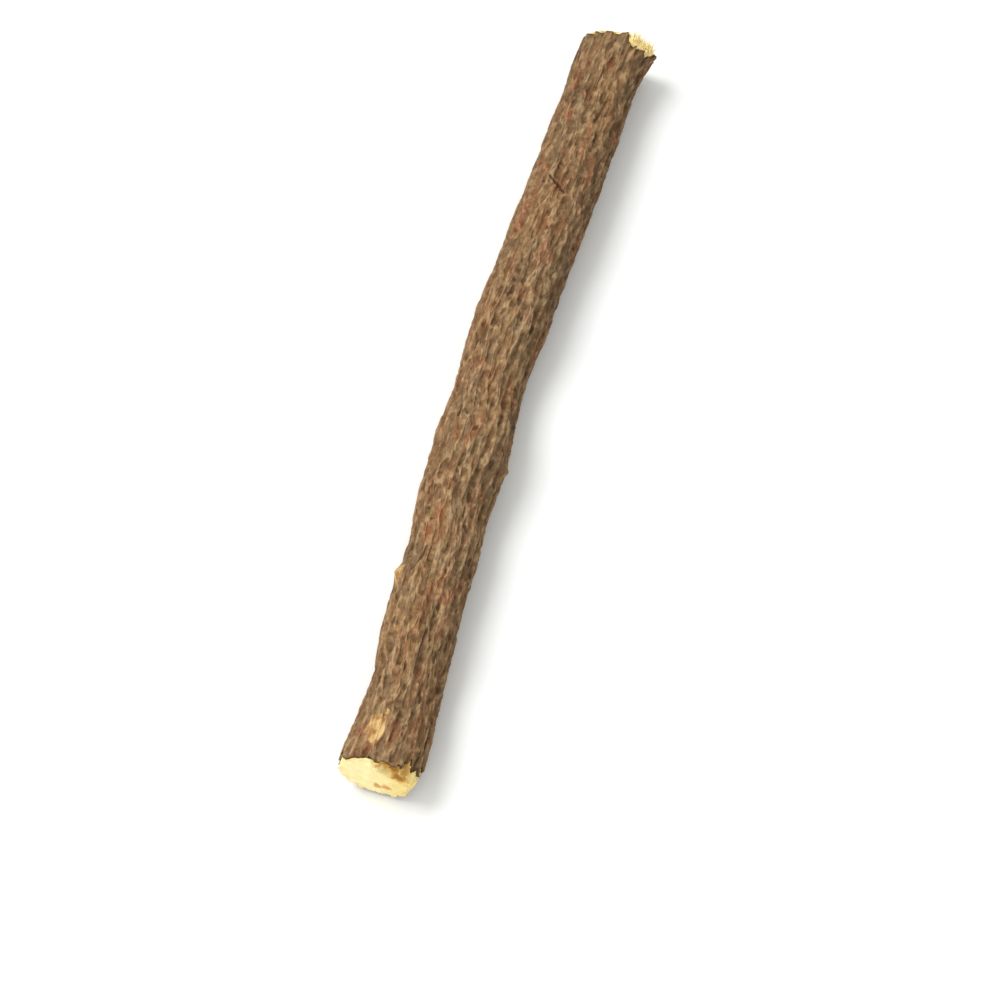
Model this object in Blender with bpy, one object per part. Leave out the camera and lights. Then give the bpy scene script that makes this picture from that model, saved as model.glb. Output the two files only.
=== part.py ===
"""A cut stick of dried licorice root, lying on its side on a table.

The root grew as one piece, so it is one closed solid: a gently bowed, roughly round stick with
braided lengthwise wrinkles in its bark, a few rootlet scars, and two rough cut ends where the
pale wood stands a little proud of the chipped bark. Metres, +Z up. +X runs along the stick from
its broad pale cut to its torn end, and the table is the plane z = 0.
"""

import math

import bmesh
import bpy
import numpy as np
from mathutils import Vector, noise

# The two cuts cross the middle of the stick at these places.
NEAR_CUT_X = -0.0826
FAR_CUT_X = 0.0824

# Sideways bow of the stick's middle line, as (x, y), and its mean radius, as (x, radius).
BOW = [
    (-0.0830, -0.00058),
    (-0.0740, -0.00083),
    (-0.0560, 0.00012),
    (-0.0440, 0.00077),
    (-0.0365, 0.00077),
    (-0.0290, 0.00152),
    (-0.0140, 0.00152),
    (0.0010, 0.00237),
    (0.0180, 0.00182),
    (0.0350, 0.00092),
    (0.0525, 0.00017),
    (0.0680, -0.00033),
    (0.0755, -0.00053),
    (0.0830, -0.00193),
]
GIRTH = [
    (-0.0830, 0.00730),
    (-0.0740, 0.00690),
    (-0.0640, 0.00655),
    (-0.0560, 0.00672),
    (-0.0470, 0.00655),
    (-0.0240, 0.00683),
    (-0.0140, 0.00720),
    (-0.0010, 0.00637),
    (0.0140, 0.00705),
    (0.0270, 0.00690),
    (0.0390, 0.00710),
    (0.0520, 0.00685),
    (0.0610, 0.00700),
    (0.0670, 0.00690),
    (0.0755, 0.00705),
    (0.0830, 0.00765),
]
MEAN_RADIUS = 0.00725

# The section is not quite round: it is a little oval and lies on its broad side, it has three soft
# lobes that turn along the stick, and its surface swells and sinks slowly.
OVAL = 0.030
LOBES = 0.020
OVAL_TURN_PER_M = 9.0
LOBE_TURN_PER_M = -14.0
LOBE_START = 1.1
SWELL_RISE = 0.00035
SWELL_SIZE = (0.016, 0.007)

# Wrinkles in the bark: two sets of ridges that lean against each other, wander and fade, so that
# they braid and leave short fissures between them. Sizes are along the stick and round it.
LEFT_RIDGES = 18
RIGHT_RIDGES = 15
LEAN_PER_M = 260.0
RIDGE_RISE = 0.00088
RIDGE_LEVEL = 0.64
WANDER = 4.2
WANDER_SIZE = (0.015, 0.006)
RIDGE_STRENGTH = 0.85
FADE = 0.70
FADE_SIZE = (0.012, 0.004)

# The stick rests on three low places, each pressed a little flat. Between them it arches.
REST_X = (-0.065, 0.002, 0.066)
REST_LENGTH = 0.0095
REST_HALF_TURN = 0.55
PRESSED = 0.00040
ARCH = 0.00085

# The cut ends: how each cut slopes as it goes up and sideways, how rough it is, and how the wood
# stands proud of the bark's ragged rim. The wood under the bark is only faintly wrinkled.
NEAR_SLOPE = (0.09, 0.02)
FAR_SLOPE = (-0.10, -0.02)
CUT_ROUGHNESS = 0.00055
CUT_GRAIN = 0.0016
BARK_THICKNESS = 0.00042
WOOD_WRINKLES = 0.55
RIM_SET_BACK = 0.00030
RIM_RAGGED = 0.00020
RIM_TOOTH = 0.0012
RIM_ROUNDING = 0.00015
CHIP_RAGGED = 0.50

# Chips broken out of the bark at the rims, as (middle turn, half width in radians, depth).
NEAR_CHIPS = [
    (-0.92, 0.46, 0.0011),
    (-1.02, 0.19, 0.0018),
    (-1.75, 0.55, 0.0036),
    (1.45, 0.35, 0.0010),
    (2.40, 0.40, 0.0012),
]
FAR_CHIPS = [(-0.86, 0.52, 0.0025), (2.75, 0.45, 0.0013)]

# Ledges where the outer wood broke away behind the cut, as (middle turn, half width, depth, share
# of the radius at which it starts).
NEAR_LEDGES = [(-0.46, 0.38, 0.0010, 0.50), (-1.80, 0.42, 0.0022, 0.82)]
FAR_LEDGES = [(-0.86, 0.47, 0.0010, 0.75)]

# Scars, as (x, turn, half length, half width, rise): a rise above the bark, or a hollow where it
# is negative. A turn is measured round the stick from its top, positive towards +Y.
SCARS = [
    (-0.0755, 0.30, 0.0030, 0.0021, -0.00050),
    (-0.0443, 1.15, 0.0017, 0.0014, 0.00090),
    (-0.0175, -1.60, 0.0013, 0.0012, 0.00105),
    (-0.0408, 0.47, 0.0024, 0.0009, -0.00060),
    (-0.0590, -0.30, 0.0045, 0.0009, -0.00050),
    (-0.0314, -0.56, 0.0024, 0.0010, -0.00065),
    (-0.0104, -0.68, 0.0012, 0.0008, -0.00070),
    (-0.0482, -1.35, 0.0020, 0.0012, -0.00060),
    (0.0455, 0.31, 0.0015, 0.0013, 0.00060),
    (0.0090, 0.23, 0.0013, 0.0012, 0.00050),
    (0.0290, 2.25, 0.0020, 0.0017, 0.00085),
    (-0.0290, 2.70, 0.0030, 0.0012, -0.00060),
    (0.0560, -2.30, 0.0016, 0.0014, 0.00080),
]

# One slanting slit where a bud stood: its ends as (x, turn), its half width and its depth.
SLIT_ENDS = ((0.0443, 0.34), (0.0416, -0.20))
SLIT_WIDTH = 0.00065
SLIT_DEPTH = 0.00075

# Where in the noise each pattern is drawn, so that no two of them are alike.
SWELL_DRAW = 5.3
LEFT_DRAW = 11.7
RIGHT_DRAW = 23.1
FADE_DRAW = 37.9
NEAR_CUT_DRAW = 3.2
FAR_CUT_DRAW = 8.6
NEAR_RIM_DRAW = 2.4
FAR_RIM_DRAW = 6.8

# Mesh steps round and along the stick, and the rings across each cut as shares of its radius.
STEPS_ROUND = 82
STEPS_ALONG = 60
CUT_RINGS = (0.93, 0.80, 0.60, 0.30)

BARK_COLOUR = (0.245, 0.155, 0.085, 1.0)
BARK_ROUGHNESS = 0.88


def clear_scene():
    for obj in list(bpy.data.objects):
        bpy.data.objects.remove(obj, do_unlink=True)


def bark_material():
    material = bpy.data.materials.new("licorice_bark")
    material.use_nodes = True
    shader = material.node_tree.nodes["Principled BSDF"]
    shader.inputs["Base Color"].default_value = BARK_COLOUR
    shader.inputs["Roughness"].default_value = BARK_ROUGHNESS
    shader.inputs["Metallic"].default_value = 0.0
    return material


def through(points, x):
    """A smooth curve through (place, value) points, read at x."""
    places, values = np.array(points).T
    slopes = np.gradient(values, places)
    i = np.clip(np.searchsorted(places, x) - 1, 0, len(places) - 2)
    span = places[i + 1] - places[i]
    t = (x - places[i]) / span
    start = values[i] * (1 + 2 * t) * (1 - t) ** 2 + slopes[i] * span * t * (1 - t) ** 2
    end = values[i + 1] * t**2 * (3 - 2 * t) + slopes[i + 1] * span * t**2 * (t - 1)
    return start + end


def turn_between(turn, middle):
    """The signed angle from middle to turn, within half a turn."""
    return (turn - middle + math.pi) % (2 * math.pi) - math.pi


def noise_at(points):
    """Smooth noise, about -0.8 to 0.8, at an array of points."""
    flat = points.reshape(-1, 3)
    return np.array([noise.noise(Vector(point)) for point in flat]).reshape(points.shape[:-1])


def bark_noise(x, turn, size, draw):
    """Noise on the bark with spots of the given size along and round the stick."""
    along, across = size
    reach = MEAN_RADIUS / across
    return noise_at(np.stack([x / along + draw, reach * np.sin(turn), reach * np.cos(turn)], -1))


def smooth_radius(x, turn):
    """The stick's radius before its bark is wrinkled."""
    oval = -OVAL * np.cos(2 * turn - OVAL_TURN_PER_M * x)
    lobes = LOBES * np.cos(3 * turn - LOBE_TURN_PER_M * x + LOBE_START)
    swell = SWELL_RISE * bark_noise(x, turn, SWELL_SIZE, SWELL_DRAW)
    return through(GIRTH, x) * (1 + oval + lobes) + swell


def near_rest(x):
    """1 at the three places where the stick touches the table, falling to 0 between them."""
    return sum(np.exp(-(((x - place) / REST_LENGTH) ** 2)) for place in REST_X)


def axis(x):
    """Sideways place and height of the stick's middle line."""
    under = smooth_radius(x, np.full_like(x, math.pi))
    return through(BOW, x), under + ARCH * (1 - near_rest(x)) - PRESSED


def wrinkles(x, turn):
    """Height of the braided ridges, about their middle level."""
    left = LEFT_RIDGES * turn + LEAN_PER_M * x
    right = RIGHT_RIDGES * turn - LEAN_PER_M * x
    left = left + WANDER * bark_noise(x, turn, WANDER_SIZE, LEFT_DRAW)
    right = right + WANDER * bark_noise(x, turn, WANDER_SIZE, RIGHT_DRAW)
    crests = 0.5 + 0.5 * np.maximum(np.cos(left), np.cos(right))
    strength = RIDGE_STRENGTH + FADE * bark_noise(x, turn, FADE_SIZE, FADE_DRAW)
    return RIDGE_RISE * strength * (crests - RIDGE_LEVEL)


def slit(x, turn):
    """How deep the slanting slit is at a place."""
    start, end = (np.array([place, middle * MEAN_RADIUS]) for place, middle in SLIT_ENDS)
    here = np.stack([x, turn_between(turn, 0.0) * MEAN_RADIUS], -1)
    share = np.clip((here - start) @ (end - start) / ((end - start) @ (end - start)), 0, 1)
    away = np.linalg.norm(here - (start + share[..., None] * (end - start)), axis=-1)
    return SLIT_DEPTH * np.exp(-((away / SLIT_WIDTH) ** 2))


def scars(x, turn):
    """Height that the scars and the slit add to the bark."""
    height = -slit(x, turn)
    for place, middle, length, width, rise in SCARS:
        across = turn_between(turn, middle) * MEAN_RADIUS / width
        height = height + rise * np.exp(-(((x - place) / length) ** 2) - across**2)
    return height


def stick_point(x, turn, wrinkled, inset):
    """A point on or under the surface, with a share of the wrinkles, at a place along the stick."""
    under = np.exp(-((turn_between(turn, math.pi) / REST_HALF_TURN) ** 2))
    relief = (wrinkles(x, turn) + scars(x, turn)) * (1 - near_rest(x) * under)
    radius = smooth_radius(x, turn) + wrinkled * relief - inset
    side, height = axis(x)
    z = np.maximum(height + radius * np.cos(turn), 0.0)
    return np.stack([x, side + radius * np.sin(turn), z], -1)


def bark_point(x, turn):
    return stick_point(x, turn, 1.0, 0.0)


def wood_point(x, turn):
    return stick_point(x, turn, WOOD_WRINKLES, BARK_THICKNESS)


def broken_back(turn, middle, half, depth):
    """How far a chip or a ledge takes the surface back, round the stick."""
    return depth * np.sqrt(np.clip(1 - (turn_between(turn, middle) / half) ** 2, 0, 1))


def rim_set_back(turn, chips, draw):
    """How far the bark's rim lies behind the cut, round the stick."""
    tooth = bark_noise(np.zeros_like(turn), turn, (1.0, RIM_TOOTH), draw)
    chipped = sum(broken_back(turn, *chip) for chip in chips) * (1 + CHIP_RAGGED * tooth)
    return np.maximum(RIM_SET_BACK + RIM_RAGGED * tooth + chipped, 2 * RIM_ROUNDING)


def rough_cut(cut_x, slope, points, draw):
    """Where a cut's rough plane lies at the height and sideways place of the points."""
    side, height = axis(np.full(len(points), cut_x))
    plane = cut_x + slope[0] * (points[:, 2] - height) + slope[1] * (points[:, 1] - side)
    return plane + CUT_ROUGHNESS * noise_at(points / CUT_GRAIN + draw)


def cut_rings(turns, cut_x, slope, outward, ledges, draw):
    """The wood at one end, as rings from the edge of the cut inwards, and its middle point."""
    at_cut = np.full(len(turns), cut_x)
    side, height = axis(at_cut)
    middle = np.array([cut_x, side[0], height[0]])
    edge = wood_point(at_cut, turns)
    rings = []
    for share in (1.0, *CUT_RINGS):
        ring = middle + (edge - middle) * share
        ring[:, 0] = rough_cut(cut_x, slope, ring, draw)
        for *ledge, start in ledges:
            if share > start:
                ring[:, 0] -= outward * broken_back(turns, *ledge)
        rings.append(ring)
    rings[0][:, 0] -= outward * RIM_ROUNDING
    return rings, middle


def skin(bm, first, second):
    """Faces between two rings with the same number of points."""
    for i in range(len(first)):
        j = (i + 1) % len(first)
        bm.faces.new((first[i], first[j], second[j], second[i]))


def cap(bm, ring, middle):
    for i in range(len(ring)):
        bm.faces.new((ring[i], ring[(i + 1) % len(ring)], middle))


def stick_mesh():
    """The whole root, as rings of points from the middle of one cut to the middle of the other."""
    turns = np.arange(STEPS_ROUND) * 2 * math.pi / STEPS_ROUND
    near = (turns, NEAR_CUT_X, NEAR_SLOPE, -1, NEAR_LEDGES, NEAR_CUT_DRAW)
    far = (turns, FAR_CUT_X, FAR_SLOPE, 1, FAR_LEDGES, FAR_CUT_DRAW)
    near_rings, near_middle = cut_rings(*near)
    far_rings, far_middle = cut_rings(*far)
    near_edge = wood_point(np.full(STEPS_ROUND, NEAR_CUT_X), turns)
    far_edge = wood_point(np.full(STEPS_ROUND, FAR_CUT_X), turns)
    near_back = rim_set_back(turns, NEAR_CHIPS, NEAR_RIM_DRAW)
    far_back = rim_set_back(turns, FAR_CHIPS, FAR_RIM_DRAW)
    start = rough_cut(NEAR_CUT_X, NEAR_SLOPE, near_edge, NEAR_CUT_DRAW) + near_back
    stop = rough_cut(FAR_CUT_X, FAR_SLOPE, far_edge, FAR_CUT_DRAW) - far_back

    shares = np.arange(STEPS_ALONG + 1) / STEPS_ALONG
    bark = [bark_point(start + (stop - start) * share, turns) for share in shares]
    rings = near_rings[::-1] + [wood_point(start, turns)]
    rings += bark + [wood_point(stop, turns)] + far_rings

    bm = bmesh.new()
    loops = [[bm.verts.new(point) for point in ring] for ring in rings]
    for first, second in zip(loops, loops[1:]):
        skin(bm, first, second)
    cap(bm, loops[0], bm.verts.new(near_middle))
    cap(bm, loops[-1], bm.verts.new(far_middle))
    bmesh.ops.recalc_face_normals(bm, faces=bm.faces)
    mesh = bpy.data.meshes.new("licorice_root")
    bm.to_mesh(mesh)
    bm.free()
    return mesh


def main():
    clear_scene()
    stick = bpy.data.objects.new("licorice_root", stick_mesh())
    bpy.context.scene.collection.objects.link(stick)
    stick.data.materials.append(bark_material())
    stick.data.shade_smooth()


main()
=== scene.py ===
# %% [markdown]
# # A dried stick of licorice root
#
# The real object is one cut length of root, dried until its bark shrank into braided wrinkles.
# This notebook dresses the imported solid: it builds the bark, the pale cut wood and the frayed
# fibres as fine meshes in the same place, and gives each one its finish. The solid itself stays
# as it is, and says where everything goes.

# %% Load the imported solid
import math
from collections import namedtuple

import bpy
import numpy as np
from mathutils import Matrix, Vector, noise


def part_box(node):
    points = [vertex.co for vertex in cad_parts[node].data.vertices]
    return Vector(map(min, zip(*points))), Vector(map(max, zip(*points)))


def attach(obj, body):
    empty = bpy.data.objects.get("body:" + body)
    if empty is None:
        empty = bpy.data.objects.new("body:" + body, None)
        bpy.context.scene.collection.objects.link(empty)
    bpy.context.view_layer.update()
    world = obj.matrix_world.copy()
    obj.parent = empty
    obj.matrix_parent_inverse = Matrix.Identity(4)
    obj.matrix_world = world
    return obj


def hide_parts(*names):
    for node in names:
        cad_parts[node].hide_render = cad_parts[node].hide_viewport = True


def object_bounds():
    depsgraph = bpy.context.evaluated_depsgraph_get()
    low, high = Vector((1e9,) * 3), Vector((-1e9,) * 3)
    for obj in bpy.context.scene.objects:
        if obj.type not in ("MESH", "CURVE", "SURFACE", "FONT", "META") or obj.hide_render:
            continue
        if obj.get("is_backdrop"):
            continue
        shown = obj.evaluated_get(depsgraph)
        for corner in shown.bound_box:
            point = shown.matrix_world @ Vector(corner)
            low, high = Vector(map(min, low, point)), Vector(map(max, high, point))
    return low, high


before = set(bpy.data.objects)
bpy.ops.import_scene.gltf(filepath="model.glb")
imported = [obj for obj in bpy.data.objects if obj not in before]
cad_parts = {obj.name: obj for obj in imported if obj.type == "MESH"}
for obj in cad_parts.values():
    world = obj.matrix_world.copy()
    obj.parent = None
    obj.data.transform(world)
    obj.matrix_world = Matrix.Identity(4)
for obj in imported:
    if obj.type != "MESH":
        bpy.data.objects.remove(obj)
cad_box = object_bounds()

NODE = "licorice_root"
MM_PER_M = 1000
ML_PER_M3 = 1e6
node_low, node_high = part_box(NODE)
print("solid's box, mm:", [round(MM_PER_M * side, 1) for side in node_high - node_low])

# %% [markdown]
# ## The camera
#
# The photograph looks down steeply along the stick, with the broad pale cut nearest to it. A
# camera that is aimed with angles and a distance is easier to read than one that is placed by
# hand, so its place is worked out from those. The lens is a long one, as for a product picture,
# which keeps the near end from looking larger than the far one.

# %% Aim the camera
CAMERA_ELEVATION = math.radians(65.0)
CAMERA_HEADING = math.radians(16.18)
CAMERA_DISTANCE = 0.455
CAMERA_TARGET = Vector((-0.0202, -0.0056, 0.0))
LENS_MM = 85.0
SENSOR_MM = 36.0

back = Vector((
    -math.cos(CAMERA_HEADING) * math.cos(CAMERA_ELEVATION),
    -math.sin(CAMERA_HEADING) * math.cos(CAMERA_ELEVATION),
    math.sin(CAMERA_ELEVATION),
))
camera = bpy.data.objects.new("camera", bpy.data.cameras.new("camera"))
camera.data.lens = LENS_MM
camera.data.sensor_width = SENSOR_MM
camera.location = CAMERA_TARGET + CAMERA_DISTANCE * back
camera.rotation_euler = back.to_track_quat("Z", "Y").to_euler()
bpy.context.scene.collection.objects.link(camera)
bpy.context.scene.camera = camera
print("camera at, mm:", [round(MM_PER_M * value) for value in camera.location])

# %% [markdown]
# ## The stick's own rule
#
# A root's form is irregular, but it isn't random: it bows gently, its girth swells and shrinks
# slowly, its section is a little oval, and its bark is pushed into ridges that lean to the left
# and to the right and so braid. Each of these is one short formula of two numbers, the place
# along the stick and the turn round it. The solid was made by the same rule on a coarse grid, so
# a finer grid gives the same stick with crisper wrinkles.

# %% Sizes of the stick
BOW = [
    (-0.0830, -0.00058),
    (-0.0740, -0.00083),
    (-0.0560, 0.00012),
    (-0.0440, 0.00077),
    (-0.0365, 0.00077),
    (-0.0290, 0.00152),
    (-0.0140, 0.00152),
    (0.0010, 0.00237),
    (0.0180, 0.00182),
    (0.0350, 0.00092),
    (0.0525, 0.00017),
    (0.0680, -0.00033),
    (0.0755, -0.00053),
    (0.0830, -0.00193),
]
GIRTH = [
    (-0.0830, 0.00730),
    (-0.0740, 0.00690),
    (-0.0640, 0.00655),
    (-0.0560, 0.00672),
    (-0.0470, 0.00655),
    (-0.0240, 0.00683),
    (-0.0140, 0.00720),
    (-0.0010, 0.00637),
    (0.0140, 0.00705),
    (0.0270, 0.00690),
    (0.0390, 0.00710),
    (0.0520, 0.00685),
    (0.0610, 0.00700),
    (0.0670, 0.00690),
    (0.0755, 0.00705),
    (0.0830, 0.00765),
]
MEAN_RADIUS = 0.00725
OVAL = 0.030
LOBES = 0.020
OVAL_TURN_PER_M = 9.0
LOBE_TURN_PER_M = -14.0
LOBE_START = 1.1
SWELL_RISE = 0.00035
SWELL_SIZE = (0.016, 0.007)
SWELL_DRAW = 5.3
print("places that give the bow:", len(BOW), "- and the girth:", len(GIRTH))

# %% Sizes of the wrinkles, the rests and the scars
LEFT_RIDGES = 18
RIGHT_RIDGES = 15
LEAN_PER_M = 260.0
RIDGE_RISE = 0.00088
RIDGE_LEVEL = 0.64
RIDGE_STRENGTH = 0.85
WANDER = 4.2
WANDER_SIZE = (0.015, 0.006)
LEFT_DRAW = 11.7
RIGHT_DRAW = 23.1
FADE = 0.70
FADE_SIZE = (0.012, 0.004)
FADE_DRAW = 37.9
REST_X = (-0.065, 0.002, 0.066)
REST_LENGTH = 0.0095
REST_HALF_TURN = 0.55
PRESSED = 0.00040
ARCH = 0.00085
SCARS = [
    (-0.0755, 0.30, 0.0030, 0.0021, -0.00050),
    (-0.0443, 1.15, 0.0017, 0.0014, 0.00090),
    (-0.0175, -1.60, 0.0013, 0.0012, 0.00105),
    (-0.0408, 0.47, 0.0024, 0.0009, -0.00060),
    (-0.0590, -0.30, 0.0045, 0.0009, -0.00050),
    (-0.0314, -0.56, 0.0024, 0.0010, -0.00065),
    (-0.0104, -0.68, 0.0012, 0.0008, -0.00070),
    (-0.0482, -1.35, 0.0020, 0.0012, -0.00060),
    (0.0455, 0.31, 0.0015, 0.0013, 0.00060),
    (0.0090, 0.23, 0.0013, 0.0012, 0.00050),
    (0.0290, 2.25, 0.0020, 0.0017, 0.00085),
    (-0.0290, 2.70, 0.0030, 0.0012, -0.00060),
    (0.0560, -2.30, 0.0016, 0.0014, 0.00080),
]
SLIT_ENDS = ((0.0443, 0.34), (0.0416, -0.20))
SLIT_WIDTH = 0.00065
SLIT_DEPTH = 0.00075
print("ridges that lean left and right:", LEFT_RIDGES, RIGHT_RIDGES, "- scars:", len(SCARS))


# %% Curves and noise on the stick
def through(points, x):
    """A smooth curve through (place, value) points, read at x."""
    places, values = np.array(points).T
    slopes = np.gradient(values, places)
    i = np.clip(np.searchsorted(places, x) - 1, 0, len(places) - 2)
    span = places[i + 1] - places[i]
    t = (x - places[i]) / span
    start = values[i] * (1 + 2 * t) * (1 - t) ** 2 + slopes[i] * span * t * (1 - t) ** 2
    end = values[i + 1] * t**2 * (3 - 2 * t) + slopes[i + 1] * span * t**2 * (t - 1)
    return start + end


def turn_between(turn, middle):
    """The signed angle from middle to turn, within half a turn."""
    return (turn - middle + math.pi) % (2 * math.pi) - math.pi


def noise_at(points):
    """Smooth noise, about -0.8 to 0.8, at an array of points."""
    flat = points.reshape(-1, 3)
    return np.array([noise.noise(Vector(point)) for point in flat]).reshape(points.shape[:-1])


def bark_noise(x, turn, size, draw):
    """Noise on the bark with spots of the given size along and round the stick."""
    along, across = size
    reach = MEAN_RADIUS / across
    return noise_at(np.stack([x / along + draw, reach * np.sin(turn), reach * np.cos(turn)], -1))


# %% The stick without its wrinkles
def smooth_radius(x, turn):
    """The stick's radius before its bark is wrinkled."""
    oval = -OVAL * np.cos(2 * turn - OVAL_TURN_PER_M * x)
    lobes = LOBES * np.cos(3 * turn - LOBE_TURN_PER_M * x + LOBE_START)
    swell = SWELL_RISE * bark_noise(x, turn, SWELL_SIZE, SWELL_DRAW)
    return through(GIRTH, x) * (1 + oval + lobes) + swell


def near_rest(x):
    """1 at the three places where the stick touches the table, falling to 0 between them."""
    return sum(np.exp(-(((x - place) / REST_LENGTH) ** 2)) for place in REST_X)


def axis(x):
    """Sideways place and height of the stick's middle line."""
    under = smooth_radius(x, np.full_like(x, math.pi))
    return through(BOW, x), under + ARCH * (1 - near_rest(x)) - PRESSED


halfway = np.zeros(1)
print("radius on top, half-way along, mm:",
      round(MM_PER_M * float(smooth_radius(halfway, halfway)[0]), 2))


# %% Wrinkles, slit and scars
def wrinkles(x, turn):
    """Height of the braided ridges, about their middle level."""
    left = LEFT_RIDGES * turn + LEAN_PER_M * x
    right = RIGHT_RIDGES * turn - LEAN_PER_M * x
    left = left + WANDER * bark_noise(x, turn, WANDER_SIZE, LEFT_DRAW)
    right = right + WANDER * bark_noise(x, turn, WANDER_SIZE, RIGHT_DRAW)
    crests = 0.5 + 0.5 * np.maximum(np.cos(left), np.cos(right))
    strength = RIDGE_STRENGTH + FADE * bark_noise(x, turn, FADE_SIZE, FADE_DRAW)
    return RIDGE_RISE * strength * (crests - RIDGE_LEVEL)


def away_from_line(x, turn, ends, middle):
    """How far each point of the bark is from a straight line between two (x, turn) places."""
    start, end = (np.array([place, (at - middle) * MEAN_RADIUS]) for place, at in ends)
    here = np.stack([x, turn_between(turn, middle) * MEAN_RADIUS], -1)
    share = np.clip((here - start) @ (end - start) / ((end - start) @ (end - start)), 0, 1)
    return np.linalg.norm(here - (start + share[..., None] * (end - start)), axis=-1)


def scars(x, turn):
    """Height that the scars and the slit add to the bark."""
    away = away_from_line(x, turn, SLIT_ENDS, middle=0.0)
    height = -SLIT_DEPTH * np.exp(-((away / SLIT_WIDTH) ** 2))
    for place, middle, length, width, rise in SCARS:
        across = turn_between(turn, middle) * MEAN_RADIUS / width
        height = height + rise * np.exp(-(((x - place) / length) ** 2) - across**2)
    return height


top_line = np.linspace(BOW[0][0], BOW[-1][0], 200)
top_heights = wrinkles(top_line, np.zeros_like(top_line))
print("bark's height along the top, mm:", round(MM_PER_M * float(top_heights.min()), 2), "to",
      round(MM_PER_M * float(top_heights.max()), 2))


# %% [markdown]
# ## The cut ends
#
# A saw or shears went through the stick at each end, and the dry wood tore a little, so a cut is
# a sloping plane with rough grain. The bark is brittle and chips away behind the cut, which bares
# a collar of pale wood, narrow in most places and several millimetres wide in a few.

# %% Sizes of the cuts
CUT_ROUGHNESS = 0.00055
CUT_GRAIN = 0.0016
BARK_THICKNESS = 0.00042
WOOD_WRINKLES = 0.55
RIM_SET_BACK = 0.00030
RIM_RAGGED = 0.00020
RIM_TOOTH = 0.0012
RIM_ROUNDING = 0.00015
CHIP_RAGGED = 0.50

Cut = namedtuple("Cut", "x slope outward chips ledges torn_from wood_draw rim_draw")
NEAR = Cut(
    x=-0.0826,
    slope=(0.09, 0.02),
    outward=-1,
    chips=[
        (-0.92, 0.46, 0.0011),
        (-1.02, 0.19, 0.0018),
        (-1.75, 0.55, 0.0036),
        (1.45, 0.35, 0.0010),
        (2.40, 0.40, 0.0012),
    ],
    ledges=[(-0.46, 0.38, 0.0010, 0.50), (-1.80, 0.42, 0.0022, 0.82)],
    torn_from=1.0,
    wood_draw=3.2,
    rim_draw=2.4,
)
FAR = Cut(
    x=0.0824,
    slope=(-0.10, -0.02),
    outward=1,
    chips=[(-0.86, 0.52, 0.0025), (2.75, 0.45, 0.0013)],
    ledges=[(-0.86, 0.47, 0.0010, 0.75)],
    torn_from=0.8,
    wood_draw=8.6,
    rim_draw=6.8,
)
print("from cut to cut, mm:", round(MM_PER_M * (FAR.x - NEAR.x), 1))


# %% Points of the bark and of the wood under it
def stick_point(x, turn, wrinkled, inset):
    """A point on or under the surface, with a share of the wrinkles, at a place along the stick."""
    under = np.exp(-((turn_between(turn, math.pi) / REST_HALF_TURN) ** 2))
    relief = (wrinkles(x, turn) + scars(x, turn)) * (1 - near_rest(x) * under)
    radius = smooth_radius(x, turn) + wrinkled * relief - inset
    side, height = axis(x)
    z = np.maximum(height + radius * np.cos(turn), 0.0)
    return np.stack([x, side + radius * np.sin(turn), z], -1)


def bark_point(x, turn, inset=0.0):
    return stick_point(x, turn, 1.0, inset)


def wood_point(x, turn, inset=0.0):
    return stick_point(x, turn, WOOD_WRINKLES, BARK_THICKNESS + inset)


# %% Where the cuts and the rims are
FINE_TOOTH = 0.00042
FINE_RAGGED = 0.00012
SPLIT_RAGGED = 0.00090
BARK_ROUND = 262


def broken_back(turn, middle, half, depth):
    """How far a chip or a ledge takes the surface back, round the stick."""
    return depth * np.sqrt(np.clip(1 - (turn_between(turn, middle) / half) ** 2, 0, 1))


def chipped_back(turn, cut):
    """How far all the chips of a cut together take the bark back."""
    return sum(broken_back(turn, *chip) for chip in cut.chips)


def rim_set_back(turn, cut):
    """How far the bark's rim lies behind the cut, with fine teeth, and splits in its chips."""
    tooth = bark_noise(np.zeros_like(turn), turn, (1.0, RIM_TOOTH), cut.rim_draw)
    fine = bark_noise(np.zeros_like(turn), turn, (1.0, FINE_TOOTH), cut.rim_draw + 1)
    chipped = chipped_back(turn, cut)
    splits = np.minimum(chipped, SPLIT_RAGGED) * fine
    chipped = chipped * (1 + CHIP_RAGGED * tooth) + splits
    back = RIM_SET_BACK + RIM_RAGGED * tooth + FINE_RAGGED * fine + chipped
    return np.maximum(back, 2 * RIM_ROUNDING)


def cut_plane(cut, points):
    """Where a cut's plane lies at the height and sideways place of the points."""
    side, height = axis(np.full(len(points), cut.x))
    return cut.x + cut.slope[0] * (points[:, 2] - height) + cut.slope[1] * (points[:, 1] - side)


def rough_cut(cut, points):
    """A cut's plane with its rough grain."""
    return cut_plane(cut, points) + CUT_ROUGHNESS * noise_at(points / CUT_GRAIN + cut.wood_draw)


for cut in (NEAR, FAR):
    round_the_rim = rim_set_back(np.linspace(0, 2 * math.pi, BARK_ROUND), cut)
    print("bark set back from the cut, mm:", round(MM_PER_M * float(round_the_rim.min()), 2), "to",
          round(MM_PER_M * float(round_the_rim.max()), 2))

# %% [markdown]
# ## Meshes from rings
#
# Bark and wood are both made of rings of points that are skinned together and closed at each end
# with a fan of triangles. Rings are the plain way to make a limb: each ring stays in its place
# along the stick, so the long wrinkles follow the mesh's own edges and stay crisp.

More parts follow.
